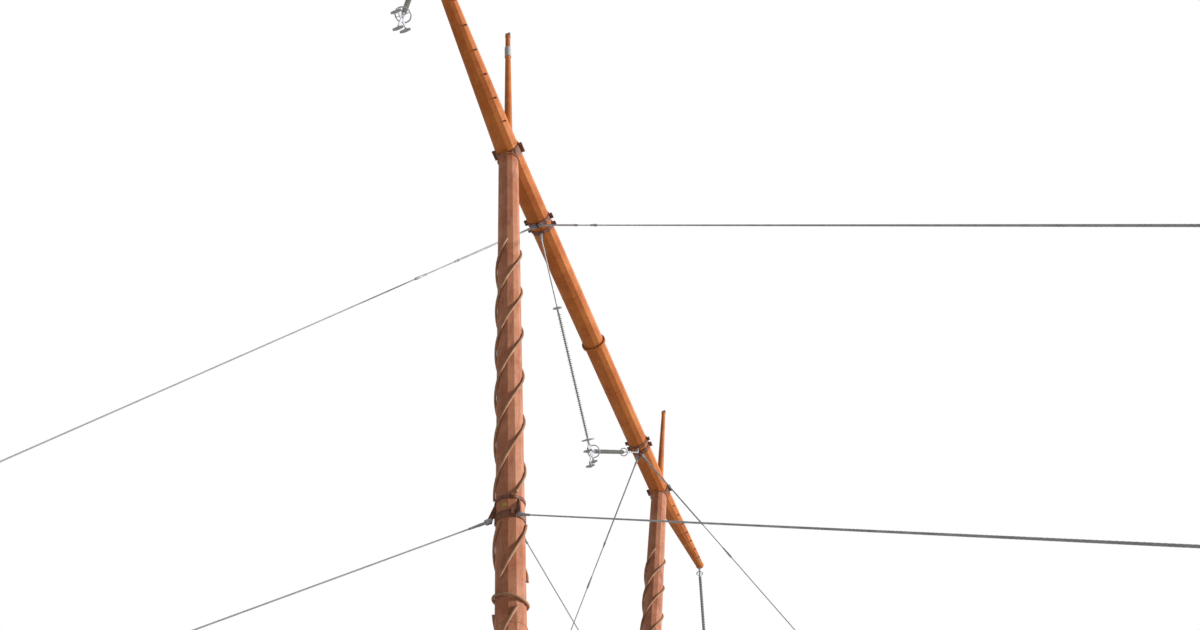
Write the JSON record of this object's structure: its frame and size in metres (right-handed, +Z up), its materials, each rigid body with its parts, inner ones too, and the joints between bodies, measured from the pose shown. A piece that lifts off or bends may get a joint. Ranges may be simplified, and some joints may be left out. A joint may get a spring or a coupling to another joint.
{
  "type": "guyed V transmission tower",
  "caption": "Steel tube transmission tower with two leaning legs, guys, a swept crossarm and hanging insulator strings.",
  "frame": {"origin": "underside of the footing, midway between the legs", "axes": "+X along the crossarm, +Y along the line, +Z up"},
  "size_m": [35.4722, 36.1078, 34.9247],
  "materials": {
    "weathering_steel": "rust patina",
    "strake": "rust patina",
    "dark_fittings": "dark rust",
    "galvanised_steel": "dull zinc",
    "string_steel": "bright zinc",
    "insulator": "matt silicone",
    "concrete": "rough cast"
  },
  "bodies": {
    "tower": {"footing": "concrete", "leg_tie": "galvanised_steel", "left_leg_lower": "weathering_steel", "left_leg_upper": "weathering_steel", "left_inner_arm": "weathering_steel", "left_outer_arm": "weathering_steel", "left_mast": "weathering_steel", "left_leg_strakes": "strake", "left_leg_shoe": "dark_fittings", "left_leg_collar": "dark_fittings", "left_saddle": "dark_fittings", "left_arm_band": "dark_fittings", "left_leg_hoop": "strake", "left_mast_clamp": "galvanised_steel", "left_front_upper_guy": "galvanised_steel", "left_front_lower_guy": "galvanised_steel", "left_front_anchor": "galvanised_steel", "left_back_upper_guy": "galvanised_steel", "left_back_lower_guy": "galvanised_steel", "left_back_anchor": "galvanised_steel", "right_leg_lower": "weathering_steel", "right_leg_upper": "weathering_steel", "right_inner_arm": "weathering_steel", "right_outer_arm": "weathering_steel", "right_mast": "weathering_steel", "right_leg_strakes": "strake", "right_leg_shoe": "dark_fittings", "right_leg_collar": "dark_fittings", "right_saddle": "dark_fittings", "right_arm_band": "dark_fittings", "right_leg_hoop": "strake", "right_mast_clamp": "galvanised_steel", "right_front_upper_guy": "galvanised_steel", "right_front_lower_guy": "galvanised_steel", "right_front_anchor": "galvanised_steel", "right_back_upper_guy": "galvanised_steel", "right_back_lower_guy": "galvanised_steel", "right_back_anchor": "galvanised_steel"},
    "v_string": {"v_string_left_link": "string_steel", "v_string_right_link": "string_steel", "v_string_left_insulator": "insulator", "v_string_right_insulator": "insulator", "v_string_yoke": "string_steel", "v_string_clamps": "string_steel"},
    "left_hanger": {"left_hanger": "string_steel"},
    "left_string": {"left_string_link": "string_steel", "left_string_insulator": "insulator", "left_string_yoke": "string_steel", "left_string_clamps": "string_steel"},
    "right_hanger": {"right_hanger": "string_steel"},
    "right_string": {"right_string_link": "string_steel", "right_string_insulator": "insulator", "right_string_yoke": "string_steel", "right_string_clamps": "string_steel"}
  },
  "joints": [
    {"name": "v_string_swing", "type": "hinge", "parent": "tower", "child": "v_string", "pos_m": [0, 0, 28.87642], "axis": [1, 0, 0], "range_deg": [-25, 25]},
    {"name": "left_hanger_swing", "type": "hinge", "parent": "tower", "child": "left_hanger", "pos_m": [-12.74, 0, 30.04491], "axis": [1, 0, 0], "range_deg": [-30, 30]},
    {"name": "left_string_swing", "type": "hinge", "parent": "left_hanger", "child": "left_string", "pos_m": [-12.74, 0, 29.88991], "axis": [0, 1, 0], "range_deg": [-40, 40]},
    {"name": "right_hanger_swing", "type": "hinge", "parent": "tower", "child": "right_hanger", "pos_m": [12.74, 0, 30.04491], "axis": [1, 0, 0], "range_deg": [-30, 30]},
    {"name": "right_string_swing", "type": "hinge", "parent": "right_hanger", "child": "right_string", "pos_m": [12.74, 0, 29.88991], "axis": [0, 1, 0], "range_deg": [-40, 40]}
  ]
}
